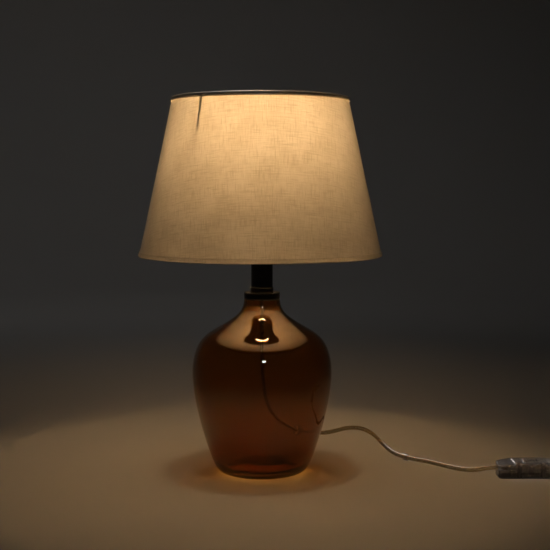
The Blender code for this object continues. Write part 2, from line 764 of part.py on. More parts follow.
def build_spare_lead():
    lead_out = (
        (SWITCH_X + 27.0, SWITCH_Y, 11.0),
        (SWITCH_X + 40.0, SWITCH_Y, 11.0),
        (SWITCH_X + 49.0, SWITCH_Y, 9.4),
        (SWITCH_X + 60.0, SWITCH_Y, 6.0),
        (SWITCH_X + 71.0, SWITCH_Y, 4.2),
        (COIL_X - 22.5, COIL_Y - COIL_OUTER_TURN, 4.0),
    )
    tube("cord_from_switch", evenly(catmull(lead_out, 8), CORD_SPACING), CORD_WIDTH / 2, LEAD)
    inner = COIL_RADIUS - COIL_HALF_WIDTH
    outer = COIL_RADIUS + COIL_HALF_WIDTH
    edge = 2.6
    coil = turned(
        "cord_coil",
        (
            (inner + edge, COIL_HIGH),
            (outer - edge, COIL_HIGH),
            (outer, COIL_HIGH - edge),
            (outer, COIL_LOW + edge),
            (outer - edge, COIL_LOW),
            (inner + edge, COIL_LOW),
            (inner, COIL_LOW + edge),
            (inner, COIL_HIGH - edge),
        ),
        LEAD,
    )
    coil.location = (COIL_X * MM, COIL_Y * MM, 0.0)
    tie_x = COIL_X - COIL_RADIUS
    reach = COIL_HALF_WIDTH + 0.4
    tie = box(
        "coil_tie",
        (tie_x - reach - TIE_THICK, COIL_Y - 2.0, COIL_LOW - GAP - TIE_THICK),
        (tie_x + reach + TIE_THICK, COIL_Y + 2.0, COIL_HIGH + GAP + TIE_THICK),
        CLEAR,
    )
    tie_room = box(
        "tie_room",
        (tie_x - reach, COIL_Y - 4.0, COIL_LOW - GAP),
        (tie_x + reach, COIL_Y + 4.0, COIL_HIGH + GAP),
    )
    cut(tie, tie_room)
    plug_x = COIL_X + COIL_OUTER_TURN
    lead_on = (
        (plug_x, COIL_Y + 22.5, COIL_HIGH - 3.0),
        (plug_x, COIL_Y + 30.0, 8.8),
        (plug_x, COIL_Y + 38.0, 7.4),
        (plug_x, PLUG_Y - 14.0 - GAP, PLUG_THICK / 2),
    )
    tube("cord_to_plug", evenly(catmull(lead_on, 4), 8.0), CORD_WIDTH / 2, LEAD)
    body = box(
        "plug_body",
        (plug_x - PLUG_WIDTH / 2, PLUG_Y, 0.0),
        (plug_x + PLUG_WIDTH / 2, PLUG_Y + PLUG_LENGTH, PLUG_THICK),
        PLUG,
        4.0,
        3,
    )
    tail = disc("plug_tail", 5.0, -14.0, 6.0, steps=16)
    lay_along(tail, (plug_x, PLUG_Y, PLUG_THICK / 2), (0.0, 1.0, 0.0))
    cut(body, tail, "UNION")
    for number, side in ((1, -1.0), (2, 1.0)):
        pin = turned(
            f"plug_pin_{number}",
            ((0.0, PIN_LENGTH), (1.2, PIN_LENGTH), (PIN_RADIUS, 17.8), (PIN_RADIUS, GAP), (0.0, GAP)),
            BRASS,
            closed=False,
            steps=16,
        )
        start = (plug_x + side * PIN_SPACING / 2, PLUG_Y + PLUG_LENGTH, PLUG_THICK / 2)
        lay_along(pin, start, (0.0, 1.0, 0.0))


hole_middle = build_bottle()
build_neck()
build_holder()
build_bulb()
build_shade()
build_leads(hole_middle)
build_switch()
build_spare_lead()
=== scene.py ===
"""Looks for a table lamp with an amber glass bottle base, a lit linen shade and a clear flat lead.

Lengths are in millimetres where a shape is made, and MM turns them into metres. The axis of the lamp is Z,
+X is to the right of the picture and -Y is towards the camera.
"""

import math

import bmesh
import bpy
import numpy as np
from mathutils import Matrix, Vector


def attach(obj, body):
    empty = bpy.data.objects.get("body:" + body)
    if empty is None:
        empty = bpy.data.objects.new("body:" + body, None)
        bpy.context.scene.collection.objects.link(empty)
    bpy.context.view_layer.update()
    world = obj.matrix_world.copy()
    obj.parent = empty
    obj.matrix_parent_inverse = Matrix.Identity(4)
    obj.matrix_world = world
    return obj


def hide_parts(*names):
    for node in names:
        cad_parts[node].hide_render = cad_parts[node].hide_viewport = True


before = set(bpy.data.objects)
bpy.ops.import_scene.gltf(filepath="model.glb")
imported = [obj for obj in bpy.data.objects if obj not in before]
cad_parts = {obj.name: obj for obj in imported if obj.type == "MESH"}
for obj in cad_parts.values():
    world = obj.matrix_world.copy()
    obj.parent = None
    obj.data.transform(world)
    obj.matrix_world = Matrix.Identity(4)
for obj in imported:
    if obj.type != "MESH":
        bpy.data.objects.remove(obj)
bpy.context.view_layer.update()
MM = 0.001

# The light of the bulb, in linear colour, and how bright its globe is.
GLOW = (0.94, 0.572, 0.256)
GLOW_STRENGTH = 58.0
DARK = (0.0015, 0.0015, 0.0015)
# The heights in metres between which the bottle's tint goes from deep to light.
FOOT_TINT = (0.02, 0.15)
GRAIN_HEIGHT = 0.00001


# ---------------------------------------------------------------- shapes


def new_object(name, data, *looks):
    made = bpy.data.objects.new(name, data)
    bpy.context.scene.collection.objects.link(made)
    for look in looks:
        data.materials.append(look)
    return made


def mesh_object(name, verts, faces, looks, which=None, sharp=40.0):
    """A smooth-shaded object from points in metres, with its faces turned outwards."""
    data = bpy.data.meshes.new(name)
    data.from_pydata([tuple(v) for v in verts], [], faces)
    made = new_object(name, data, *looks)
    if which is not None:
        data.polygons.foreach_set("material_index", which)
    tidy(made, sharp)
    return made


def tidy(thing, sharp=40.0):
    """Outward normals and smooth shading that breaks at sharp edges."""
    shape = bmesh.new()
    shape.from_mesh(thing.data)
    bmesh.ops.recalc_face_normals(shape, faces=shape.faces)
    shape.to_mesh(thing.data)
    shape.free()
    thing.data.shade_smooth()
    thing.data.set_sharp_from_angle(angle=math.radians(sharp))


def spline(points, spacing):
    """Points about spacing apart on a natural cubic curve through the given ones."""
    knots = np.array(points, float)
    spans = np.linalg.norm(np.diff(knots, axis=0), axis=1) ** 0.5
    at = np.concatenate([[0.0], np.cumsum(spans)])
    count = len(knots)
    matrix = np.zeros((count, count))
    right = np.zeros_like(knots)
    matrix[0, 0] = matrix[-1, -1] = 1.0
    for i in range(1, count - 1):
        matrix[i, i - 1 : i + 2] = spans[i - 1], 2 * (spans[i - 1] + spans[i]), spans[i]
        slope_after = (knots[i + 1] - knots[i]) / spans[i]
        slope_before = (knots[i] - knots[i - 1]) / spans[i - 1]
        right[i] = 6 * (slope_after - slope_before)
    bend = np.linalg.solve(matrix, right)
    fine = []
    for i in range(count - 1):
        h = spans[i]
        for t in np.linspace(0.0, h, 24, endpoint=False):
            a = (h - t) / h
            b = t / h
            curve = ((a**3 - a) * bend[i] + (b**3 - b) * bend[i + 1]) * h * h / 6
            fine.append(a * knots[i] + b * knots[i + 1] + curve)
    fine.append(knots[-1])
    return evenly(np.array(fine), spacing)


def evenly(line, spacing):
    """The same line with its points evenly spaced."""
    along = np.concatenate([[0.0], np.cumsum(np.linalg.norm(np.diff(line, axis=0), axis=1))])
    wanted = np.linspace(0.0, along[-1], max(2, round(along[-1] / spacing) + 1))
    return np.stack([np.interp(wanted, along, line[:, k]) for k in range(line.shape[1])], axis=1)


def steps_between(low, high, count):
    return [low + (high - low) * i / count for i in range(count + 1)]


def eased(share):
    """A share from 0 to 1 that starts and stops gently."""
    return share * share * (3 - 2 * share)


def held(share):
    return min(max(share, 0.0), 1.0)


def length_of(line):
    return float(np.linalg.norm(np.diff(np.array(line), axis=0), axis=1).sum())


def rounded(profile, radius, closed=True, count=4):
    """A profile with its corners rounded off, each in count steps."""
    points = [Vector(p) for p in profile]
    made = []
    for i, here in enumerate(points):
        if not closed and i in (0, len(points) - 1):
            made.append(tuple(here))
            continue
        before = points[i - 1] - here
        after = points[(i + 1) % len(points)] - here
        reach = min(radius, 0.45 * before.length, 0.45 * after.length)
        start = here + before.normalized() * reach
        end = here + after.normalized() * reach
        for step in range(count + 1):
            t = step / count
            made.append(tuple(start * (1 - t) ** 2 + here * (2 * t * (1 - t)) + end * t * t))
    return made


def lathe(name, profile, looks, steps=96, closed=True, wave=None, sharp=40.0, which=None):
    """A shape of revolution about Z from (radius, height) in millimetres. wave(angle, r, z) gives a new
    radius, and which gives the look of each side of the outline."""
    looks = looks if isinstance(looks, list) else [looks]
    verts = []
    rings = []
    for r, z in profile:
        if r < 1e-6:
            rings.append([len(verts)] * steps)
            verts.append((0.0, 0.0, z * MM))
            continue
        rings.append(list(range(len(verts), len(verts) + steps)))
        for i in range(steps):
            angle = 2 * math.pi * i / steps
            radius = wave(angle, r, z) if wave else r
            verts.append((radius * math.cos(angle) * MM, radius * math.sin(angle) * MM, z * MM))
    faces = []
    marks = []
    pairs = list(zip(rings, rings[1:]))
    if closed:
        pairs.append((rings[-1], rings[0]))
    for number, (a, b) in enumerate(pairs):
        for i in range(steps):
            j = (i + 1) % steps
            corners = list(dict.fromkeys((a[i], a[j], b[j], b[i])))
            if len(corners) > 2:
                faces.append(corners)
                marks.append(which[number] if which else 0)
    return mesh_object(name, verts, faces, looks, marks, sharp)


def circle(radius, count, centre=(0.0, 0.0)):
    turn = [2 * math.pi * i / count for i in range(count)]
    return [(centre[0] + radius * math.cos(a), centre[1] + radius * math.sin(a)) for a in turn]


def frames(line, wide=None):
    """Tangent, wide and thin directions at each point of a line."""
    ahead = np.gradient(line, axis=0)
    ahead /= np.linalg.norm(ahead, axis=1)[:, None]
    if wide is None:
        start = np.array((0.0, 0.0, 1.0)) if abs(ahead[0][2]) < 0.9 else np.array((0.0, 1.0, 0.0))
        wide = [start]
        for tangent in ahead[1:]:
            kept = wide[-1] - tangent * (wide[-1] @ tangent)
            wide.append(kept / np.linalg.norm(kept))
    wide = np.array(wide, float)
    wide = wide - ahead * (wide * ahead).sum(1)[:, None]
    wide /= np.linalg.norm(wide, axis=1)[:, None]
    return ahead, wide, np.cross(ahead, wide)


def sweep_data(line, section, wide=None, size=None):
    """Points and faces of a section (wide, thin) in metres carried along a line, with flat ends."""
    _, across, thin = frames(line, wide)
    verts = []
    count = len(section)
    for i, point in enumerate(line):
        grown = 1.0 if size is None else size[i]
        for w, t in section:
            verts.append(point + across[i] * w * grown + thin[i] * t * grown)
    faces = []
    for i in range(len(line) - 1):
        for k in range(count):
            m = (k + 1) % count
            faces.append((i * count + k, i * count + m, (i + 1) * count + m, (i + 1) * count + k))
    faces.append(tuple(range(count - 1, -1, -1)))
    faces.append(tuple(range((len(line) - 1) * count, len(line) * count)))
    return verts, faces


def sweep(name, line, section, look, wide=None, size=None, sharp=50.0):
    verts, faces = sweep_data(np.array(line, float), section, wide, size)
    return mesh_object(name, verts, faces, [look], sharp=sharp)


def several(name, parts, look, sharp):
    """One object from several (points, faces) pairs."""
    verts = []
    faces = []
    for points, corners in parts:
        start = len(verts)
        verts.extend(points)
        faces.extend(tuple(start + c for c in face) for face in corners)
    return mesh_object(name, verts, faces, [look], sharp=sharp)


def block(name, low, high, look, edge, corner):
    """A box in millimetres with rounded upright edges and softened other edges."""
    shape = bmesh.new()
    bmesh.ops.create_cube(shape, size=1.0)
    size = [(b - a) * MM for a, b in zip(low, high)]
    bmesh.ops.scale(shape, vec=size, verts=shape.verts)
    upright = [e for e in shape.edges if abs(e.verts[0].co.z - e.verts[1].co.z) > 0.5 * size[2]]
    bmesh.ops.bevel(shape, geom=upright, offset=corner * MM, segments=6, profile=0.5, affect="EDGES")
    hard = [e for e in shape.edges if e.calc_face_angle(0.0) > math.radians(50.0)]
    bmesh.ops.bevel(shape, geom=hard, offset=edge * MM, segments=3, profile=0.5, affect="EDGES")
    middle = [(a + b) / 2 * MM for a, b in zip(low, high)]
    bmesh.ops.translate(shape, vec=middle, verts=shape.verts)
    data = bpy.data.meshes.new(name)
    shape.to_mesh(data)
    shape.free()
    made = new_object(name, data, look)
    tidy(made, 50.0)
    return made


def settle(thing, cutter, sharp):
    """Put a thing's modifiers into its mesh and remove the cutter that they used."""
    seen = thing.evaluated_get(bpy.context.evaluated_depsgraph_get())
    data = bpy.data.meshes.new_from_object(seen)
    thing.modifiers.clear()
    thing.data = data
    bpy.data.objects.remove(cutter, do_unlink=True)
    tidy(thing, sharp)


def carve(thing, cutter, operation="DIFFERENCE"):
    """Cut another shape out of a thing, or join it on, once the thing is settled."""
    step = thing.modifiers.new("carve", "BOOLEAN")
    step.operation = operation
    step.object = cutter
    step.solver = "EXACT"


def lay_along(thing, start, direction):
    """Put a shape made about Z onto a direction, with its origin at start, in metres."""
    turn = Vector((0.0, 0.0, 1.0)).rotation_difference(Vector(direction).normalized())
    thing.data.transform(Matrix.Translation(Vector(start)) @ turn.to_matrix().to_4x4())


def piece(thing, body, slot, *nodes):
    """Put a piece on the body it rides on and hide the CAD nodes it stands for. slot, its finish, is not
    used.
    """
    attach(thing, body)
    if nodes:
        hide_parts(*nodes)
    return thing


# ---------------------------------------------------------------- materials


class Look:
    """Short ways to build a material from nodes, on the object's own coordinates in metres."""

    def __init__(self, name, colour, roughness, **inputs):
        self.material = bpy.data.materials.new(name)
        self.material.use_nodes = True
        self.tree = self.material.node_tree
        self.shader = self.tree.nodes["Principled BSDF"]
        self.out = self.tree.nodes["Material Output"]
        self.where = self.add("ShaderNodeTexCoord").outputs["Object"]
        self.set("Base Color", (*colour, 1.0))
        self.set("Roughness", roughness)
        for socket, value in inputs.items():
            self.set(socket.replace("_", " "), value)

    def add(self, kind, inputs=None, **settings):
        node = self.tree.nodes.new(kind)
        for key, value in settings.items():
            setattr(node, key, value)
        for key, value in (inputs or {}).items():
            self.put(node.inputs[key], value)
        return node

    def put(self, socket, value):
        if isinstance(value, bpy.types.NodeSocket):
            self.tree.links.new(value, socket)
        else:
            socket.default_value = value

    def set(self, socket, value):
        self.put(self.shader.inputs[socket], value)

    def noise(self, size, detail=3.0, stretch=(1.0, 1.0, 1.0), where=None):
        """Noise with features of about that size in metres, drawn out along an axis by stretch."""
        scale = [1.0 / (size * s) for s in stretch]
        place = self.add("ShaderNodeMapping", {"Vector": where or self.where, "Scale": scale})
        made = self.add("ShaderNodeTexNoise", {"Vector": place.outputs[0], "Scale": 1.0, "Detail": detail})
        return made.outputs["Fac"]

    def span(self, value, low, high, start=0.3, end=0.7):
        inputs = {"Value": value, "From Min": start, "From Max": end, "To Min": low, "To Max": high}
        return self.add("ShaderNodeMapRange", inputs, clamp=True).outputs["Result"]

    def math(self, operation, first, second):
        return self.add("ShaderNodeMath", {0: first, 1: second}, operation=operation).outputs[0]

    def mix(self, factor, first, second):
        node = self.add("ShaderNodeMix", {0: factor}, data_type="RGBA")
        for socket, value in ((node.inputs[6], first), (node.inputs[7], second)):
            self.put(socket, value if isinstance(value, bpy.types.NodeSocket) else (*value, 1.0))
        return node.outputs[2]

    def blend(self, factor, first, second):
        """The whole surface as a mix of two shader nodes."""
        mixed = self.add("ShaderNodeMixShader", {0: factor, 1: first.outputs[0], 2: second.outputs[0]})
        self.put(self.out.inputs["Surface"], mixed.outputs[0])

    def bump(self, height, distance):
        inputs = {"Height": height, "Distance": distance, "Strength": 1.0}
        return self.add("ShaderNodeBump", inputs).outputs["Normal"]

    def grain(self, size, stretch=(1.0, 1.0, 1.0)):
        """A fine grain, GRAIN_HEIGHT metres high."""
        self.set("Normal", self.bump(self.noise(size, 2.0, stretch), GRAIN_HEIGHT))

    def vary(self, colour, darker, size, detail=4.0):
        """Uneven colour between two shades."""
        self.set("Base Color", self.mix(self.span(self.noise(size, detail), 0.0, 1.0), darker, colour))

    def uneven(self, low, high, size, detail=4.0):
        """Uneven gloss."""
        self.set("Roughness", self.span(self.noise(size, detail), low, high))


def clear_look(name, tint, roughness, ior, shadow, ripple, depth=None, foot=None):
    """A see-through material, faintly rippled, that lets lamplight on to what is behind it. depth gives the
    colour and density inside it, and foot the tint it deepens to from FOOT_TINT[1] down to FOOT_TINT[0]."""
    look = Look(name, tint, roughness, IOR=ior, Transmission_Weight=1.0)
    look.set("Normal", look.bump(look.noise(ripple[0], 1.5), ripple[1]))
    if foot:
        height = look.add("ShaderNodeSeparateXYZ", {0: look.where}).outputs["Z"]
        inputs = {"Value": height, "From Min": FOOT_TINT[0], "From Max": FOOT_TINT[1]}
        rise = look.add("ShaderNodeMapRange", inputs, interpolation_type="SMOOTHSTEP").outputs["Result"]
        look.set("Base Color", look.mix(rise, foot, tint))
    if depth:
        colour, density = depth
        volume = look.add("ShaderNodeVolumeAbsorption", {"Color": (*colour, 1.0), "Density": density})
        look.put(look.out.inputs["Volume"], volume.outputs[0])
    path = look.add("ShaderNodeLightPath").outputs["Is Shadow Ray"]
    through = look.add("ShaderNodeBsdfTransparent", {"Color": (*shadow, 1.0)})
    look.blend(path, look.shader, through)
    return look.material


def black_look(name, roughness, grain):
    """Black paint or moulded bakelite with a fine grain and a paler shade on worn edges."""
    look = Look(name, DARK, roughness)
    edge = look.add("ShaderNodeNewGeometry").outputs["Pointiness"]
    worn = look.span(edge, 0.0, 0.4, 0.56, 0.66)
    patchy = look.math("MULTIPLY", worn, look.noise(0.004, 3.0))
    look.set("Base Color", look.mix(patchy, DARK, (0.05, 0.047, 0.044)))
    look.uneven(roughness - 0.05, roughness + 0.06, 0.009)
    look.grain(grain)
    return look.material


def metal_look(name, colour, darker, roughness, brushed=None):
    """Plated or bare metal with uneven colour and gloss. brushed is how far its scratches are drawn out."""
    look = Look(name, colour, roughness, Metallic=1.0)
    look.vary(colour, darker, 0.006)
    look.uneven(roughness - 0.08, roughness + 0.12, 0.004)
    if brushed:
        look.grain(0.0004, brushed)
    return look.material


def plain_look(name, colour, darker, roughness, grain=0.0006):
    """Moulded plastic, rubber or ceramic with uneven gloss and a fine grain."""
    look = Look(name, colour, roughness)
    look.vary(colour, darker, 0.012)
    look.uneven(roughness - 0.08, roughness + 0.1, 0.005)
    look.grain(grain)
    return look.material


def weave(look, fine, slub):
    """(thickness of the cloth, height of its threads) from the places on the flat cut."""
    cut = look.add("ShaderNodeAttribute", attribute_name="flat_cut").outputs["Vector"]
    threads = []
    knots = []
    for stretch, shift in (((1.0, 12.0, 1.0), 0.0), ((15.0, 1.0, 1.0), 3.0)):
        moved = look.add("ShaderNodeMapping", {"Vector": cut, "Location": (shift, shift, shift)}).outputs[0]
        threads.append(look.noise(fine, 1.0, stretch, moved))
        threads.append(look.noise(slub, 3.0, stretch, moved))
        knots.append(look.span(look.noise(slub, 1.0, stretch, moved), 0.0, 1.0, 0.60, 0.74))
    along = look.math("ADD", threads[0], threads[1])
    total = look.math("ADD", along, look.math("ADD", threads[2], threads[3]))
    cloud = look.noise(0.035, 2.0, where=cut)
    even = look.span(look.math("ADD", look.math("MULTIPLY", total, 0.9), cloud), 0.0, 0.85, 1.95, 2.7)
    slubs = look.math("MULTIPLY", look.math("MAXIMUM", knots[0], knots[1]), 0.45)
    return look.math("ADD", even, slubs), total


def cloth_look(name, front, through, share, slub=0.0016, rough=0.85):
    """Linen that is lit from behind. share of it lets light on when it is seen straight on, less where its
    threads are thick, and less the more aslant it is seen, because its nap then covers the gaps."""
    look = Look(name, front, rough, Sheen_Weight=0.2, Sheen_Roughness=0.5)
    thick, height = weave(look, 0.0007, slub)
    look.set("Base Color", look.mix(thick, front, tuple(c * 0.86 for c in front)))
    bump = look.bump(height, 0.0001)
    look.set("Normal", bump)
    lit = look.mix(thick, through, tuple(c * k for c, k in zip(through, (0.60, 0.57, 0.50))))
    behind = look.add("ShaderNodeBsdfTranslucent", {"Color": lit, "Normal": bump})
    nap = look.add("ShaderNodeLayerWeight", {"Blend": 0.38}).outputs["Facing"]
    cover = look.span(nap, 1.0 - share, 1.0, 0.0, 1.0)
    look.blend(cover, behind, look.shader)
    return look.material


def film_look(name):
    """The clear film that the linen is glued to, seen inside the shade."""
    look = Look(name, (0.93, 0.91, 0.86), 0.28, Alpha=0.14)
    look.uneven(0.22, 0.4, 0.02)
    return look.material


def wire_look(name):
    """Bunched fine copper wires, dulled by the sheath round them."""
    look = Look(name, (0.50, 0.36, 0.18), 0.26, Metallic=0.9)
    strands = look.noise(0.0005, 2.0)
    look.set("Base Color", look.mix(strands, (0.05, 0.035, 0.018), (0.60, 0.46, 0.24)))
    look.uneven(0.2, 0.4, 0.001)
    return look.material


def glow_look(name):
    """The lit globe of the bulb."""
    look = Look(name, (0.95, 0.93, 0.88), 0.35)
    look.set("Emission Color", (*GLOW, 1.0))
    look.set("Emission Strength", GLOW_STRENGTH)
    look.uneven(0.3, 0.42, 0.01)
    return look.material


def floor_look(name):
    """A pale matte floor with a faint mottle."""
    look = Look(name, (0.66, 0.65, 0.63), 0.9, Specular_IOR_Level=0.0)
    look.vary((0.67, 0.66, 0.64), (0.65, 0.64, 0.62), 0.4)
    return look.material


AMBER = clear_look(
    "amber_glass",
    (0.73, 0.43, 0.16),
    0.0,
    1.62,
    (0.96, 0.90, 0.84),
    (0.05, 0.00012),
    depth=((0.80, 0.66, 0.20), 150.0),
    foot=(0.50, 0.235, 0.05),
)
SHEATH = clear_look("clear_sheath", (0.70, 0.60, 0.40), 0.22, 1.5, (0.30, 0.25, 0.18), (0.003, 0.00002))
CASE = clear_look("clear_case", (0.66, 0.60, 0.55), 0.20, 1.49, (0.30, 0.28, 0.27), (0.004, 0.00005))
SOFT = clear_look("clear_soft", (0.93, 0.91, 0.85), 0.18, 1.5, (0.66, 0.63, 0.58), (0.004, 0.00003))
BLACK = black_look("black_paint", 0.20, 0.0005)
BAKELITE = black_look("black_bakelite", 0.24, 0.0008)
RUBBER = plain_look("black_rubber", (0.03, 0.03, 0.03), (0.02, 0.02, 0.02), 0.75)
ZINC = metal_look("zinc_plate", (0.62, 0.62, 0.60), (0.45, 0.45, 0.44), 0.34)
NICKEL = metal_look("nickel_plate", (0.70, 0.68, 0.64), (0.50, 0.48, 0.45), 0.28)
BRASS = metal_look("brass", (0.72, 0.52, 0.24), (0.50, 0.34, 0.15), 0.30, (1.0, 1.0, 8.0))
TINNED = metal_look("tinned_brass", (0.40, 0.36, 0.30), (0.20, 0.18, 0.15), 0.34)
COPPER = wire_look("copper_wires")
CERAMIC = plain_look("ceramic", (0.80, 0.79, 0.75), (0.70, 0.69, 0.64), 0.32)
WHITE = plain_look("white_plastic", (0.84, 0.84, 0.82), (0.78, 0.78, 0.75), 0.38)
WIRE = plain_look("white_coated_wire", (0.74, 0.72, 0.67), (0.62, 0.60, 0.55), 0.36, 0.0009)
LINEN = cloth_look("linen", (0.80, 0.76, 0.68), (0.95, 0.93, 0.90), 0.31)
HEM = cloth_look("linen_hem", (0.80, 0.76, 0.68), (0.97, 0.94, 0.90), 0.58, 0.0012)
EDGE = cloth_look("glued_hem", (0.74, 0.70, 0.63), (0.96, 0.93, 0.89), 0.05, 0.0012, 0.38)
FILM = film_look("shade_film")
GLOBE = glow_look("lit_globe")
FLOOR = floor_look("pale_floor")


# ---------------------------------------------------------------- camera


CAMERA_AWAY = 1.35
CAMERA_HEIGHT = 0.359
LOOKS_DOWN = 4.854
LOOKS_RIGHT = 0.685


def make_camera():
    """The photograph's view, fitted to the outlines of the shade and the bottle."""
    data = bpy.data.cameras.new("camera")
    data.sensor_width = 36.0
    data.lens = 71.67
    data.clip_start = 0.05
    data.clip_end = 60.0
    made = bpy.data.objects.new("camera", data)
    made.location = (0.0, -CAMERA_AWAY, CAMERA_HEIGHT)
    made.rotation_euler = (math.radians(90.0 - LOOKS_DOWN), 0.0, math.radians(-LOOKS_RIGHT))
    bpy.context.scene.collection.objects.link(made)
    bpy.context.scene.camera = made


make_camera()


# ---------------------------------------------------------------- leads

# In metres. The lead runs from the holder down the stem and the bottle, out of the hole and over the table
# into the switch, and the spare lead from there by a coil to the plug.
LEAD_WIDTH = 0.0056
CORE_RADIUS = 0.00072
LEAD_STEP = 0.0030
HOLE_AZIMUTH = math.radians(47.5)
HOLE_OUT = Vector((math.cos(HOLE_AZIMUTH), math.sin(HOLE_AZIMUTH), 0.0))
HOLE_MIDDLE = HOLE_OUT * 0.0688 + Vector((0.0, 0.0, 0.0378))
HOLE_TILT = math.radians(-16.5)
LEAD_TILT = math.radians(-20.5)
HOLE_REACH = 0.007
# How far past the hole the lead starts to turn on edge, and over what length.
TWIST_FROM = 0.005
TWIST_LENGTH = 0.075
TO_HOLE = (
    (0.0, 0.0, 0.3270),
    (0.0, 0.0, 0.2700),
    (0.0, 0.0, 0.2150),
    (0.0, 0.0, 0.1600),
    (0.0008, 0.0009, 0.1240),
    (0.0032, 0.0035, 0.0980),
    (0.0096, 0.0105, 0.0750),
    (0.0206, 0.0225, 0.0588),
    (0.0325, 0.0355, 0.0478),
)
FROM_HOLE = (
    (0.0725, 0.0710, 0.0296),
    (0.0845, 0.0775, 0.0282),
    (0.0980, 0.0848, 0.0290),
    (0.1100, 0.0922, 0.0302),
    (0.1216, 0.0974, 0.0301),
    (0.1344, 0.1004, 0.0281),
    (0.1470, 0.0958, 0.0228),
    (0.1564, 0.0833, 0.0160),
    (0.1634, 0.0695, 0.0104),
    (0.1705, 0.0560, 0.0070),
    (0.1780, 0.0458, 0.0054),
    (0.1860, 0.0386, 0.0046),
    (0.1950, 0.0322, 0.0037),
    (0.2140, 0.0195, 0.0029),
    (0.2340, -0.0025, 0.0029),
    (0.2490, -0.0175, 0.0033),
    (0.2630, -0.0285, 0.0056),
    (0.2750, -0.0352, 0.0093),
    (0.2855, -0.0378, 0.0109),
    (0.3005, -0.0380, 0.0110),
)
CLIP_AT = (0.1860, 0.0386, 0.0046)
FROM_SWITCH = (
    (0.3545, -0.0380, 0.0110),
    (0.3675, -0.0380, 0.0110),
    (0.3765, -0.0380, 0.0094),
    (0.3875, -0.0380, 0.0060),
    (0.3985, -0.0380, 0.0043),
    (0.4085, -0.0380, 0.0042),
)
COIL_MIDDLE = (0.4310, -0.0012)
COIL_OUTER = 0.0368
COIL_INNER = 0.0252
COIL_LOW = 0.0042
COIL_HIGH = 0.0099
TURNS_LOW = 3.0
TURNS_HIGH = 3.25
CLIMB_TURNS = 0.2
PLUG_X = 0.4678
PLUG_MIDDLE = 0.00685
PIN_APART = 0.0093
TO_PLUG = (
    (PLUG_X, 0.0213, 0.0097),
    (PLUG_X, 0.0288, 0.0088),
    (PLUG_X, 0.0368, 0.0074),
    (PLUG_X, 0.0457, PLUG_MIDDLE),
    (PLUG_X, 0.0620, PLUG_MIDDLE),
)


def lead_section():
    """The outline of the flat twin sheath, wide by thin, in metres."""
    radius = LEAD_WIDTH / 4
    right = [math.radians(a) for a in range(-150, 151, 25)]
    left = [math.radians(a) for a in range(30, 331, 25)]
    made = [(radius + radius * math.cos(a), radius * math.sin(a)) for a in right]
    made += [(-radius + radius * math.cos(a), radius * math.sin(a)) for a in left]
    return made


def make_lead(name, line, wide):
    """The clear sheath along a line, and the two bunches of wires inside it."""
    sheath = sweep(f"{name}_sheath", line, lead_section(), SHEATH, wide, sharp=80.0)
    _, across, _ = frames(line, wide)
    cores = []
    for side in (-1.0, 1.0):
        middle = line + across * side * LEAD_WIDTH / 4
        cores.append(sweep_data(middle, circle(CORE_RADIUS, 10), wide))
    wires = several(f"{name}_wires", cores, COPPER, 80.0)
    return sheath, wires


def coil_route():
    """A flat coil wound inwards on the table, then a second one outwards on top of it."""
    points = []
    per_turn = 24
    low_count = round(TURNS_LOW * per_turn)
    high_count = round(TURNS_HIGH * per_turn)
    for i in range(low_count + high_count + 1):
        on_top = i - low_count
        if on_top < 0:
            radius = COIL_OUTER + (COIL_INNER - COIL_OUTER) * i / low_count
            z = COIL_LOW
        else:
            radius = COIL_INNER + (COIL_OUTER - COIL_INNER) * on_top / high_count
            z = COIL_LOW + (COIL_HIGH - COIL_LOW) * eased(held(on_top / (per_turn * CLIMB_TURNS)))
        angle = math.radians(-90.0 + 360.0 * i / per_turn)
        x = COIL_MIDDLE[0] + radius * math.cos(angle)
        points.append((x, COIL_MIDDLE[1] + radius * math.sin(angle), z))
    return points


def nearest_to(line, place):
    """The number of the point of a line that is nearest to a place."""
    return int(np.linalg.norm(line - np.array(place), axis=1).argmin())


def make_leads():
    """The lead goes flat through the hole and then turns on edge. The spare lead is on edge all along."""
    slope = HOLE_OUT * math.cos(LEAD_TILT) + Vector((0.0, 0.0, math.sin(LEAD_TILT)))
    through = [tuple(HOLE_MIDDLE + slope * d) for d in (-HOLE_REACH, HOLE_REACH)]
    line = spline([*TO_HOLE, *through, *FROM_HOLE], LEAD_STEP)
    inside = np.array((-math.sin(HOLE_AZIMUTH), math.cos(HOLE_AZIMUTH), 0.0))
    upright = np.array((0.0, 0.0, 1.0))
    along = np.arange(len(line)) - nearest_to(line, HOLE_MIDDLE)
    share = eased(np.clip((along * LEAD_STEP - TWIST_FROM) / TWIST_LENGTH, 0.0, 1.0))[:, None]
    wide = inside * (1 - share) + upright * share
    sheath, wires = make_lead("lead", line, wide)
    piece(sheath, "lamp_base", "clear_lead", "cord_to_switch")
    piece(wires, "lamp_base", "brass")

    spare_line = spline([*FROM_SWITCH, *coil_route(), *TO_PLUG], LEAD_STEP)
    spare, spare_wires = make_lead("spare_lead", spare_line, np.tile(upright, (len(spare_line), 1)))
    piece(spare, "lamp_base", "clear_lead", "cord_from_switch", "cord_coil", "cord_to_plug")
    piece(spare_wires, "lamp_base", "brass")
    return sheath, wires, line, spare, spare_wires, spare_line


lead, lead_wires, lead_line, spare_lead, spare_wires, spare_line = make_leads()


# ---------------------------------------------------------------- bottle

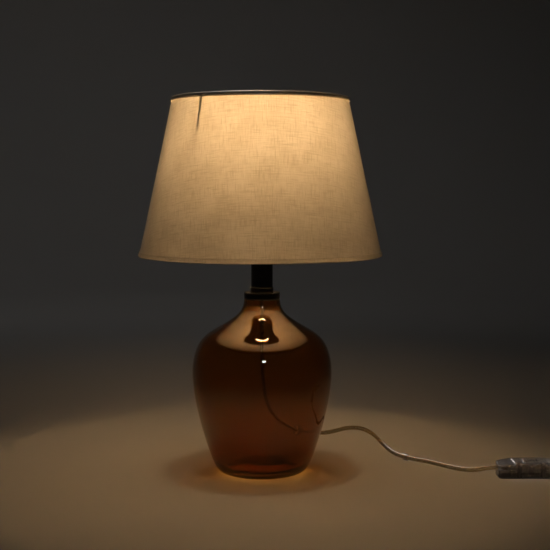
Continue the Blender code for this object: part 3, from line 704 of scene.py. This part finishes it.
# Outlines are (radius, height) in millimetres.
LIP_RADIUS = 22.3
GLASS_OUTER = (
    (49.0, 0.0),
    (53.0, 0.8),
    (55.9, 2.8),
    (60.0, 9.5),
    (67.8, 30.0),
    (76.7, 60.0),
    (83.3, 90.0),
    (86.6, 120.0),
    (85.2, 140.0),
    (79.8, 157.0),
    (69.2, 170.0),
    (50.2, 182.0),
    (32.2, 194.0),
    (24.4, 204.0),
    (LIP_RADIUS, 213.8),
)
GLASS_WALL = 2.8
GLASS_TOP = 214.7
NECK_BORE = 19.3
DRILL_RADIUS = 5.4
DRILL_REACH = 12.0
# The heights between which the inside follows the outside.
WALL_FROM = 24.0
WALL_TO = 203.0
FOOT_INSIDE = ((0.0, 14.6), (14.0, 13.8), (28.0, 11.3), (41.0, 7.4), (49.0, 6.2), (54.5, 8.4), (59.6, 15.0))
PUNT = ((43.5, 0.0), (40.0, 1.6), (27.0, 7.4), (12.0, 9.8), (0.0, 10.3))


def bottle_profile():
    """Floor and wall on the inside, the lip, then the outside down to the foot and the punt."""
    outside = spline(GLASS_OUTER, 2.0)
    slope = np.gradient(outside, axis=0)
    slope /= np.linalg.norm(slope, axis=1)[:, None]
    inner = outside + np.stack([-slope[:, 1], slope[:, 0]], axis=1) * GLASS_WALL
    keep = (outside[:, 1] > WALL_FROM) & (outside[:, 1] < WALL_TO)
    inner = [tuple(p) for p in inner[keep][::5]]
    neck = [(NECK_BORE + 0.15, 207.5), (NECK_BORE, 211.0), (NECK_BORE, 213.9)]
    inside = spline([*FOOT_INSIDE, *inner, *neck], 2.4)
    lip = [(NECK_BORE, 213.9), (NECK_BORE, GLASS_TOP), (LIP_RADIUS, GLASS_TOP), (LIP_RADIUS, 213.8)]
    lip = rounded(lip, 0.7, False)
    punt = spline(PUNT, 2.2)
    profile = [tuple(p) for p in inside] + lip[1:-1] + [tuple(p) for p in outside[::-1]]
    profile += [tuple(p) for p in punt]
    return [(0.0 if r < 0.02 else r, max(z, 0.0)) for r, z in profile]


def make_bottle():
    """The bottle with its drilled hole, and the clear bush in the hole."""
    glass = lathe("bottle", bottle_profile(), AMBER, steps=160, closed=False, sharp=60.0)
    rod = [(0.0, -DRILL_REACH), (DRILL_RADIUS, -DRILL_REACH), (DRILL_RADIUS, DRILL_REACH), (0.0, DRILL_REACH)]
    drill = lathe("drill", rod, AMBER, 48, closed=False)
    slope = HOLE_OUT * math.cos(HOLE_TILT) + Vector((0.0, 0.0, math.sin(HOLE_TILT)))
    lay_along(drill, HOLE_MIDDLE, slope)
    carve(glass, drill)
    settle(glass, drill, sharp=50.0)
    piece(glass, "lamp_base", "amber_glass", "glass_bottle")

    outer_lip = [(3.5, 3.3), (6.4, 3.3), (7.2, 2.2), (5.0, 2.15)]
    inner_lip = [(5.0, -2.1), (6.5, -2.2), (6.0, -3.0), (3.5, -3.0)]
    bush = lathe("cord_bush", rounded([*outer_lip, *inner_lip], 0.5), SOFT, steps=48)
    lay_along(bush, HOLE_MIDDLE, slope)
    piece(bush, "lamp_base", "clear_plastic", "cord_grommet")


make_bottle()


# ---------------------------------------------------------------- neck fitting and stem


ROD_HOLE = 5.3


def make_neck():
    """The cap over the bottle's neck, the collar on it and the stem."""
    cap = [(ROD_HOLE, 223.3), (22.3, 223.3), (22.3, 216.3), (19.8, 216.3), (19.8, 221.1), (ROD_HOLE, 221.1)]
    piece(lathe("cap", rounded(cap, 0.8), BLACK, 128), "lamp_base", "black_metal", "neck_cap")
    spigot = [(ROD_HOLE, 231.4), (12.1, 231.4), (12.1, 229.4)]
    collar = rounded([*spigot, (14.25, 229.4), (14.25, 223.6), (ROD_HOLE, 223.6)], 0.6)
    piece(lathe("collar", collar, BLACK, 112), "lamp_base", "black_metal", "stem_collar")
    stem = rounded([(12.4, 316.7), (13.5, 316.7), (13.5, 229.7), (12.4, 229.7)], 0.4)
    piece(lathe("stem", stem, BLACK, 112), "lamp_base", "black_metal", "stem_tube")


make_neck()


# ---------------------------------------------------------------- lamp holder and bulb


SCREW_PITCH = 3.6
GRIPS = 6
GRIP_DEPTH = 1.0
GLOBE_WALL = 1.1


def thread(depth, pitch, low, high):
    """A round thread cut into radii between two heights, fading out at its ends."""

    def radius(angle, r, z):
        share = held((z - low) / pitch) * held((high - z) / pitch)
        turn = math.cos(2 * math.pi * (z / pitch) - angle)
        return r - depth * share * (0.5 - 0.5 * turn)

    return radius


def only_where(cut, picked):
    """A wave for lathe that cuts a thread only into the points of an outline that picked(r, z) takes."""
    return lambda angle, r, z: cut(angle, r, z) if picked(r, z) else r


def make_holder():
    """The lamp holder's two bakelite shells and brass screw shell, and the ring that clamps the shade."""
    outside = [(18.6, 334.0), (20.0, 334.0), (20.0, 325.0), (18.6, 321.0), (15.0, 317.5), (12.6, 317.0)]
    inside = [(ROD_HOLE, 317.0), (ROD_HOLE, 318.8), (14.2, 318.9), (17.4, 322.0), (18.6, 325.6)]
    shell = rounded([*outside, *inside], 0.6)
    piece(lathe("holder_lower", shell, BAKELITE, 112), "lamp_base", "black_bakelite", "holder_cap")

    threaded = [(19.6, z) for z in steps_between(372.0, 346.0, 78)]
    flange = [(19.7, 345.0), (23.2, 345.0), (23.5, 344.7), (23.5, 343.3), (23.2, 342.9), (20.2, 341.0)]
    lower = [(20.0, 340.6), (20.0, 334.7), (19.7, 334.3), (17.9, 334.3)]
    skirt = [(17.9, 373.0), (19.0, 373.0), *threaded, *flange, *lower]
    wave = only_where(thread(0.9, 2.5, 346.5, 371.5), lambda r, z: 19.5 < r < 19.7 and 345.5 < z < 372.5)
    upper = lathe("holder_upper", skirt, BAKELITE, 112, wave=wave)
    piece(upper, "lamp_base", "black_bakelite", "holder_skirt")

    inside = [(13.6, z) for z in steps_between(343.0, 367.0, 72)]
    outside = [(14.1, z) for z in steps_between(367.0, 343.0, 72)]
    sleeve = [*inside, (14.0, 367.5), *outside, (13.8, 342.5)]
    bent = thread(-0.35, SCREW_PITCH, 345.0, 365.5)
    shell = lathe("socket_shell", sleeve, BRASS, 96, wave=bent, sharp=70.0)
    piece(shell, "lamp_base", "brass", "screw_shell")

    def grips(angle, r, z):
        if r < 22.6 or z < 348.4 or z > 353.4:
            return r
        return r - GRIP_DEPTH * max(0.0, (math.cos(GRIPS * angle) - 0.93) / 0.07)

    sides = [(23.8, z) for z in steps_between(353.0, 348.6, 4)]
    nut = [(20.0, 353.8), (23.1, 353.8), (23.6, 353.4), *sides, (23.3, 347.9), (20.0, 347.8)]
    ring = lathe("clamp_ring", nut, BAKELITE, 180, wave=grips, sharp=50.0)
    piece(ring, "ring_nut", "black_bakelite", "shade_ring")


def make_globe():
    """The globe's outside and inside as one outline, with both ends on the axis."""
    points = [(0.0, 452.0), (12.0, 449.4), (22.5, 441.5), (29.0, 428.5), (29.6, 415.0), (26.0, 401.0)]
    outer = spline([*points, (22.3, 391.3)], 1.6)
    inner = [(max(r - GLOBE_WALL, 0.0), z - GLOBE_WALL * (z - 400.0) / 52.0) for r, z in outer]
    inner[0] = (0.0, 450.9)
    profile = [(max(r, 0.0), z) for r, z in outer] + [(21.2, 391.3)] + inner[-2::-1]
    profile = [(0.0 if i in (0, len(profile) - 1) else max(r, 0.05), z) for i, (r, z) in enumerate(profile)]
    globe = lathe("globe", profile, GLOBE, 96, closed=False, sharp=60.0)
    piece(globe, "bulb", "opal_globe", "bulb_globe")


def make_bulb():
    """The bulb from its globe down to the contact at its tip."""
    make_globe()
    outside = [(10.5, 391.0), (21.8, 391.0), (22.6, 390.0), (17.4, 379.0), (14.6, 373.5), (14.0, 372.3)]
    collar = rounded([*outside, (11.5, 372.3), (11.5, 366.0), (10.5, 366.0)], 0.6)
    piece(lathe("bulb_neck", collar, WHITE, 96), "bulb", "white_plastic", "bulb_collar")

    outside = [(13.0, z) for z in steps_between(371.6, 352.0, 60)]
    cap = [(12.1, 372.0), (12.8, 372.0), *outside, (12.4, 350.9), (12.0, 351.1)]
    cap += [(12.1, z) for z in steps_between(352.0, 371.0, 6)]
    wave = only_where(thread(0.75, SCREW_PITCH, 353.0, 369.5), lambda r, z: r > 12.6)
    screw = lathe("bulb_screw", cap, NICKEL, 96, wave=wave, sharp=60.0)
    piece(screw, "bulb", "plated_steel", "bulb_cap")

    glass_seal = rounded([(11.2, 350.6), (11.0, 350.0), (5.6, 347.3), (4.6, 347.2)], 0.4, False)
    seal = lathe("bulb_seal", [(0.0, 350.6), *glass_seal, (0.0, 347.2)], BAKELITE, 64, closed=False)
    piece(seal, "bulb", "black_bakelite", "bulb_insulator")
    tip = [(0.0, 346.9), (4.2, 346.9), (4.2, 346.4), (3.6, 345.9), (2.4, 345.4), (1.2, 345.3), (0.0, 345.3)]
    piece(lathe("bulb_tip", tip, ZINC, 48, closed=False), "bulb", "plated_steel", "bulb_contact")


make_holder()
make_bulb()


# ---------------------------------------------------------------- shade

SHADE_LOW = (150.3, 268.7)
SHADE_HIGH = (108.4, 461.5)
SLANT = math.hypot(SHADE_LOW[0] - SHADE_HIGH[0], SHADE_HIGH[1] - SHADE_LOW[1])
CONE_SINE = (SHADE_LOW[0] - SHADE_HIGH[0]) / SLANT
# The linen overlaps at the back. Its thickness and its distance in from the shade's outline are CLOTH and
# COVER_IN, and the hems hide HEM_HIDES of it at each edge.
SEAM_ANGLE = math.radians(84.0)
OVERLAP = math.radians(4.6)
CLOTH = 0.45
COVER_IN = 1.15
HEM_HIDES = 4.2
CUT_BACK = 0.8
LAP_LIFT = 0.56
COLUMNS = 340
ROWS = 44
ASIDE = -0.0017
ASIDE_FROM = 0.030
ASIDE_OVER = 0.060
HEM_SEEN = 7.0
HEM_CLOTH = 0.35
RIM_WIRE = 1.5
SPOKE_WIRE = 1.2
WIRE_IN = 3.3
SPOKE_IN = 3.15
SPOKE_TOP = 458.3
SPOKE_AZIMUTHS = (-38.5, 81.5, 201.5)


def shade_radius(z):
    share = (z - SHADE_LOW[1]) / (SHADE_HIGH[1] - SHADE_LOW[1])
    return SHADE_LOW[0] + (SHADE_HIGH[0] - SHADE_LOW[0]) * share


def flat_place(angle, z):
    """Where a point of the cone lies on the flat cut, in metres, with its middle at the front."""
    along = shade_radius(z) / CONE_SINE
    turn = (angle + math.pi / 2) * CONE_SINE
    return (along * math.sin(turn) * MM, along * math.cos(turn) * MM, 0.0)


def mark_cut(thing, places):
    """Store each point's place on the flat cut, for the weave."""
    made = thing.data.attributes.new("flat_cut", "FLOAT_VECTOR", "POINT")
    made.data.foreach_set("vector", places)


def mark_flat(thing):
    """Work out where each point of a hem lies on the flat cut."""
    places = []
    for vertex in thing.data.vertices:
        x, y, z = vertex.co
        angle = math.atan2(y, x)
        if angle > SEAM_ANGLE + OVERLAP / 2:
            angle -= 2 * math.pi
        places.extend(flat_place(angle, z / MM))
    mark_cut(thing, places)


def out_of_round(angle, z):
    """How far the stiffened linen stands off a true cone, in millimetres."""
    loose = math.sin(math.pi * (z - SHADE_LOW[1]) / (SHADE_HIGH[1] - SHADE_LOW[1]))
    return loose * (0.22 * math.sin(3 * angle + 0.7) + 0.12 * math.sin(7 * angle + 2.1 + z * 0.01))


def make_cover():
    """The linen on its film: one strip, wrapped round, whose end laps over its start at the seam."""
    low = SHADE_LOW[1] + CUT_BACK
    high = SHADE_HIGH[1] - CUT_BACK
    heights = [low, *steps_between(low + HEM_HIDES, high - HEM_HIDES, ROWS - 2), high]
    start = SEAM_ANGLE - 2 * math.pi
    verts = []
    flat = []
    for layer in (0.0, CLOTH):
        for i in range(COLUMNS + 1):
            angle = start + (2 * math.pi + OVERLAP) * i / COLUMNS
            left = (SEAM_ANGLE + OVERLAP - angle) / OVERLAP
            lift = LAP_LIFT * eased(held(2.0 - left))
            for z in heights:
                radius = shade_radius(z) - COVER_IN + lift - layer + out_of_round(angle, z)
                verts.append((radius * math.cos(angle) * MM, radius * math.sin(angle) * MM, z * MM))
                flat.extend(flat_place(angle, z))
    faces = []
    marks = []

    def at(layer, i, j):
        return (layer * (COLUMNS + 1) + i) * (ROWS + 1) + j

    for i in range(COLUMNS):
        for j in range(ROWS):
            hidden = j in (0, ROWS - 1)
            faces.append((at(0, i, j), at(0, i + 1, j), at(0, i + 1, j + 1), at(0, i, j + 1)))
            faces.append((at(1, i, j), at(1, i, j + 1), at(1, i + 1, j + 1), at(1, i + 1, j)))
            marks += [1 if hidden else 0, 1]
        for j in (0, ROWS):
            faces.append((at(0, i, j), at(1, i, j), at(1, i + 1, j), at(0, i + 1, j)))
            marks.append(0)
    for j in range(ROWS):
        for i in (0, COLUMNS):
            faces.append((at(0, i, j), at(0, i, j + 1), at(1, i, j + 1), at(1, i, j)))
            marks.append(0)
    cover = mesh_object("linen_cover", verts, faces, [LINEN, FILM], marks, sharp=60.0)
    mark_cut(cover, flat)
    piece(cover, "shade", "linen", "shade_cover")
    return cover


def hem_profile(edge, inward, reach):
    """A folded strip over the shade's edge, and which of its sides are film. inward is 1 at the lower edge
    and -1 at the upper one."""
    outside = ((reach, 0.42), (0.7 * reach, 0.25), (1.6, 0.22), (0.45, 0.5), (0.0, 1.6))
    inside = ((0.15, 3.4), (1.2, 5.0), (2.6, 5.5), (4.2, 5.6))
    outer = []
    for drop, depth in (*outside, *inside):
        z = edge + inward * drop
        outer.append((shade_radius(z) - depth, z))
    outer = [tuple(p) for p in spline(outer, 0.5)]
    inner = []
    for number, (r, z) in enumerate(outer):
        before = Vector(outer[max(number - 1, 0)])
        after = Vector(outer[min(number + 1, len(outer) - 1)])
        way = (after - before).normalized()
        side = Vector((-way.y, way.x)) * (HEM_CLOTH * inward)
        inner.append((r + side.x, z + side.y))
    profile = outer + inner[::-1]
    seen = sum(length_of(outer[: n + 1]) < HEM_SEEN for n in range(len(outer)))
    return profile, [0 if n < seen else 1 for n in range(len(profile))]


def rumpled(angle, r, z):
    return r + 0.06 * math.sin(23 * angle + z) + 0.05 * math.sin(61 * angle)


def make_hems():
    """The glued strips over the two edges of the shade."""
    hems = []
    for name, edge, inward, reach, look, node in (
        ("upper_hem", SHADE_HIGH[1], -1.0, 5.2, EDGE, "top_hem"),
        ("lower_hem", SHADE_LOW[1], 1.0, 5.5, HEM, "bottom_hem"),
    ):
        profile, marks = hem_profile(edge, inward, reach)
        hem = lathe(name, profile, [look, FILM], 300, which=marks, wave=rumpled, sharp=60.0)
        mark_flat(hem)
        piece(hem, "shade", "linen_trim", node)
        hems.append(hem)
    return hems


def spoke_line():
    """A spoke from its weld at the upper ring, down along the linen, to the fitter, before it is turned."""
    weld = (shade_radius(SPOKE_TOP) - WIRE_IN - 1.6, 0.0, SPOKE_TOP - 0.8)
    on_cloth = ((5.5, 0.75), (11.0, 0.6), (17.0, 0.25), (22.0, 0.0))
    leaving = ((29.0, 2.6), (38.0, 10.5))
    upper = [weld]
    for drop, away in (*on_cloth, *leaving):
        z = SPOKE_TOP - drop
        upper.append((shade_radius(z) - SPOKE_IN - away, 0.0, z))
    lower = ((50.0, 383.0), (36.0, 361.5), (31.0, 351.5), (28.4, 347.4), (24.6, 346.4))
    return spline([*upper, *((r, 0.0, z) for r, z in lower)], 1.5)


def make_shade_frame():
    """The shade's wire rings, its fitter and the three spokes between them, thicker where they are welded."""
    made = []
    for name, z, node in (("upper_wire", 458.6, "top_ring"), ("lower_wire", 271.0, "bottom_ring")):
        middle = shade_radius(z) - WIRE_IN
        ring = lathe(name, circle(RIM_WIRE, 16, (middle, z)), WIRE, 240, sharp=80.0)
        made.append(piece(ring, "shade", "white_wire", node))
    plate = rounded([(20.2, 347.5), (24.5, 347.5), (24.5, 345.3), (20.2, 345.3)], 0.5)
    piece(lathe("fitter", plate, WIRE, 96), "shade", "white_wire", "fitter_ring")
    line = spoke_line()
    ends = np.ones(len(line))
    ends[:16] = np.interp(np.arange(16), (0, 6, 15), (1.75, 1.7, 1.0))
    ends[-3:] = (1.15, 1.35, 1.5)
    for number, azimuth in enumerate(SPOKE_AZIMUTHS, 1):
        turn = np.array(Matrix.Rotation(math.radians(azimuth - 90.0), 3, "Z"))
        placed = line @ turn.T * MM
        spoke = sweep(f"spoke_{number}", placed, circle(SPOKE_WIRE * MM, 12), WIRE, size=ends, sharp=80.0)
        made.append(piece(spoke, "shade", "white_wire", f"shade_spoke_{number}"))
    return made


def sit_aside(thing):
    """Shift the shade's outer parts a little to one side of the holder. Its spokes bend to meet them."""
    for vertex in thing.data.vertices:
        away = math.hypot(vertex.co.x, vertex.co.y)
        vertex.co.x += ASIDE * held((away - ASIDE_FROM) / ASIDE_OVER)


cover = make_cover()
hems = make_hems()
shade_frame = make_shade_frame()
for part in (cover, *hems, *shade_frame):
    sit_aside(part)


# ---------------------------------------------------------------- switch, clip, tie and plug


TIE_ASIDE = 31.0
TIE_REACH = 9.0
TIE_MIDDLE = 7.05
TIE_THICK = 0.8
TIE_HALF = 2.0
PLUG_HALF = 17.6
PLUG_BACK = 60.0
PLUG_FACE = 96.0
TAIL_STEPS = 18


def make_clip():
    """A short clear sleeve round the lead."""
    nearest = nearest_to(lead_line, CLIP_AT)
    along = lead_line[nearest + 1] - lead_line[nearest - 1]
    sleeve = rounded([(3.25, 3.0), (4.15, 3.0), (4.15, -3.0), (3.25, -3.0)], 0.35)
    clip = lathe("lead_clip", sleeve, CASE, 32)
    lay_along(clip, lead_line[nearest], along)
    return piece(clip, "lamp_base", "clear_plastic", "cord_clip")


def make_tie():
    """A flat clear band round one side of the coil."""
    middle = Vector((COIL_MIDDLE[0] / MM - TIE_ASIDE, TIE_MIDDLE))
    y = COIL_MIDDLE[1] / MM
    left = middle.x - TIE_REACH
    right = middle.x + TIE_REACH
    outer = rounded([(right, 13.0), (left, 13.0), (left, 1.1), (right, 1.1)], 4.0, True, 6)
    inner = []
    for place in outer:
        inwards = (middle - Vector(place)).normalized()
        inner.append(tuple(Vector(place) + inwards * TIE_THICK))
    verts = []
    for dy in (-TIE_HALF, TIE_HALF):
        for loop in (outer, inner):
            verts += [(x * MM, (y + dy) * MM, z * MM) for x, z in loop]
    count = len(outer)
    faces = []
    for k in range(count):
        m = (k + 1) % count
        faces.append((k, m, 2 * count + m, 2 * count + k))
        faces.append((count + k, 3 * count + k, 3 * count + m, count + m))
        faces.append((k, count + k, count + m, m))
        faces.append((2 * count + k, 2 * count + m, 3 * count + m, 3 * count + k))
    tie = mesh_object("lead_tie", verts, faces, [SOFT], sharp=50.0)
    return piece(tie, "lamp_base", "clear_plastic", "coil_tie")


def make_plug():
    """A moulded flat plug with a ribbed tail, and its two pins."""
    x = PLUG_X / MM
    low = (x - PLUG_HALF, PLUG_BACK, 0.1)
    high = (x + PLUG_HALF, PLUG_FACE, 13.6)
    body = block("plug_shell", low, high, SOFT, 2.2, 6.0)
    tail_line = np.array([(x * MM, y * MM, PLUG_MIDDLE) for y in np.linspace(46.5, 64.0, TAIL_STEPS + 1)])
    ribs = [0.82 + 0.18 * (i / TAIL_STEPS) + (0.05 if i % 3 == 1 else 0.0) for i in range(TAIL_STEPS + 1)]
    tail = sweep("plug_tail", tail_line, circle(0.0048, 24), SOFT, size=ribs, sharp=50.0)
    carve(body, tail, "UNION")
    settle(body, tail, sharp=45.0)
    piece(body, "lamp_base", "clear_plug", "plug_body")
    profile = [(0.0, 19.0), (1.1, 19.0), (1.6, 18.6), (1.95, 17.8), (2.0, 17.2), (2.0, 0.3), (0.0, 0.3)]
    pins = []
    for number, side in ((1, -1.0), (2, 1.0)):
        pin = lathe(f"pin_{number}", profile, BRASS, 32, closed=False)
        lay_along(pin, (PLUG_X + side * PIN_APART, PLUG_FACE * MM, PLUG_MIDDLE), (0.0, 1.0, 0.0))
        pins.append(piece(pin, "lamp_base", "brass", f"plug_pin_{number}"))
    return [body, *pins]


clip = make_clip()
tie = make_tie()
plug = make_plug()

# The CAD's own pieces that are kept as they are, with the look of each.
IN_HOLDER = {
    "neck_gasket": RUBBER,
    "threaded_rod": ZINC,
    "lock_washer": ZINC,
    "lock_nut": ZINC,
    "holder_insert": CERAMIC,
    "center_contact": BRASS,
    "side_contact": BRASS,
    "terminal_screw_live": ZINC,
    "terminal_screw_neutral": ZINC,
}
IN_SWITCH = {
    "switch_base": CASE,
    "switch_cover": CASE,
    "switch_rocker": CASE,
    "rocker_pin": ZINC,
    "contact_bar": TINNED,
    "terminal_in": TINNED,
    "terminal_out": TINNED,
    "terminal_screw_in": ZINC,
    "terminal_screw_out": ZINC,
    "neutral_link": TINNED,
    "lead_clamp_in": WHITE,
    "lead_clamp_out": WHITE,
    "switch_screw_1": ZINC,
    "switch_screw_2": ZINC,
}
for node, look in (*IN_HOLDER.items(), *IN_SWITCH.items()):
    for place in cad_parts[node].material_slots:
        place.material = look


# ---------------------------------------------------------------- floor and light


def make_stage():
    """A pale floor that turns up into a round backdrop all the way round."""
    flat = 2300.0
    bend = 1100.0
    top = 3600.0
    steps = 16
    profile = [(r, 0.0) for r in (0.0, 300.0, 700.0, 1200.0, 1800.0, flat)]
    for i in range(1, steps + 1):
        angle = math.pi / 2 * i / steps
        profile.append((flat + bend * math.sin(angle), bend * (1 - math.cos(angle))))
    profile.append((flat + bend, top))
    floor = lathe("floor", profile, FLOOR, 128, closed=False, sharp=80.0)
    floor.data.flip_normals()


def soft_light(kind, name, place, aim, size, power, colour, cone=None):
    """A lamp of the studio. The front and rear ones only show in reflections, and the others only light."""
    data = bpy.data.lights.new(name, kind)
    if kind == "AREA":
        data.shape = "DISK"
        data.size = size
    else:
        data.shadow_soft_size = size
        data.spot_size = math.radians(cone)
        data.spot_blend = 1.0
    data.energy = power
    data.color = colour
    made = bpy.data.objects.new(name, data)
    made.location = place
    made.rotation_euler = (Vector(aim) - Vector(place)).to_track_quat("-Z", "Y").to_euler()
    made.visible_camera = False
    made.visible_glossy = name in ("front", "rear")
    made.visible_diffuse = not made.visible_glossy
    made.visible_transmission = False
    bpy.context.scene.collection.objects.link(made)


def make_light():
    """A nearly black surround, and the soft lamps that light the room a little and show in the glass."""
    world = bpy.data.worlds.new("studio")
    world.use_nodes = True
    surround = world.node_tree.nodes["Background"]
    surround.inputs["Color"].default_value = (0.95, 0.97, 1.0, 1.0)
    surround.inputs["Strength"].default_value = 0.002
    bpy.context.scene.world = world
    soft_light("AREA", "overhead", (-0.6, -0.4, 3.0), (-0.5, 0.6, 0.2), 1.6, 0.9, (0.92, 0.96, 1.0))
    soft_light("SPOT", "backdrop", (-0.5, 0.9, 2.4), (-0.5, 2.6, 0.0), 0.3, 8.0, (1.0, 0.94, 0.90), 94.0)
    soft_light("SPOT", "bounce", (-0.05, 0.50, 2.4), (-0.05, 0.50, 0.0), 0.4, 15.0, (1.0, 0.68, 0.40), 28.0)
    soft_light("AREA", "front", (0.112, -2.0, 1.12), (0.0, 0.0, 0.15), 0.20, 3.0, (1.0, 0.98, 0.96))
    soft_light("AREA", "rear", (-0.3, 1.9, 2.7), (0.0, 0.0, 0.45), 0.8, 55.0, (1.0, 0.97, 0.94))


make_stage()
make_light()

scene = bpy.context.scene
scene.view_settings.view_transform = "Standard"
scene.view_settings.look = "None"
